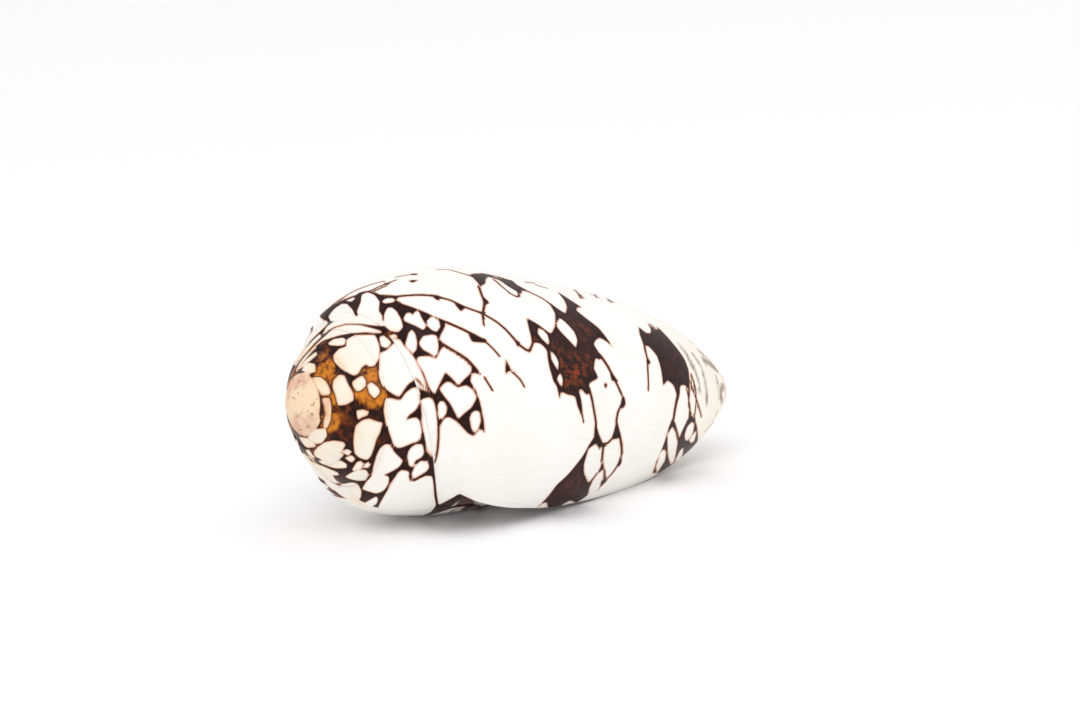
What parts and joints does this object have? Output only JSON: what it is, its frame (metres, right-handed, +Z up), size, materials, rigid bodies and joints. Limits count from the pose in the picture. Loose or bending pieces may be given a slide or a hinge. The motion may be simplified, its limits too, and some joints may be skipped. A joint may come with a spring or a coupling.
{
  "type": "cone shell",
  "caption": "Cone-shaped sea snail shell with rounded shoulders, a low domed spire and a long narrow aperture, lying on its aperture.",
  "frame": {"origin": "centre of the shell's box, on the surface it lies on", "axes": "+X along the shell from the spire to the front end, +Y away from the lip's side, +Z up; the shell lies on its lip, its early last whorl and the surface under its aperture"},
  "size_m": [0.0816, 0.0404, 0.0385],
  "materials": {
    "shell": "glossy porcelain-like white shell with a net of dark brown markings and an amber spire"
  },
  "bodies": {
    "root": {"shell": "shell"}
  },
  "joints": []
}
